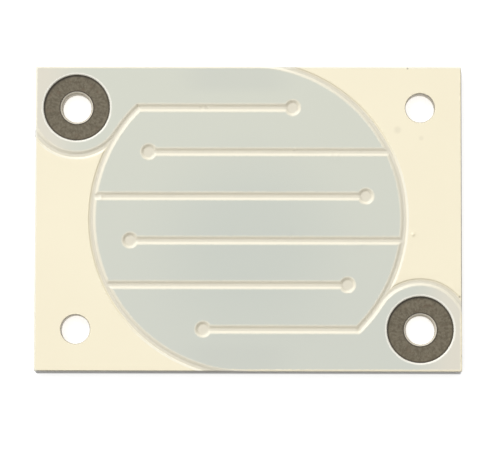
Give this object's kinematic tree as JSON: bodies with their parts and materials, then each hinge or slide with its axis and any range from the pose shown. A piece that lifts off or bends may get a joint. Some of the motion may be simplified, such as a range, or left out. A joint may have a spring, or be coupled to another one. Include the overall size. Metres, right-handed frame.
{
  "type": "flat ceramic resistance heater",
  "caption": "Thin rectangular ceramic plate heater with a meander graphite track under a translucent coat, ring contacts round opposite corner holes and plain mounting holes.",
  "frame": {"origin": "middle of the back face, on the surface that the plate lies on", "axes": "+X along the plate's length, +Y across its width towards the edge beside the first contact, +Z out of the front face, where the track shows"},
  "size_m": [0.036, 0.0258, 0.0018],
  "materials": {
    "base_ceramic": "satin",
    "graphite": "satin",
    "coat_ceramic": "satin"
  },
  "bodies": {
    "root": {"base_plate": "base_ceramic", "graphite_track": "graphite", "overcoat": "coat_ceramic"}
  },
  "joints": []
}
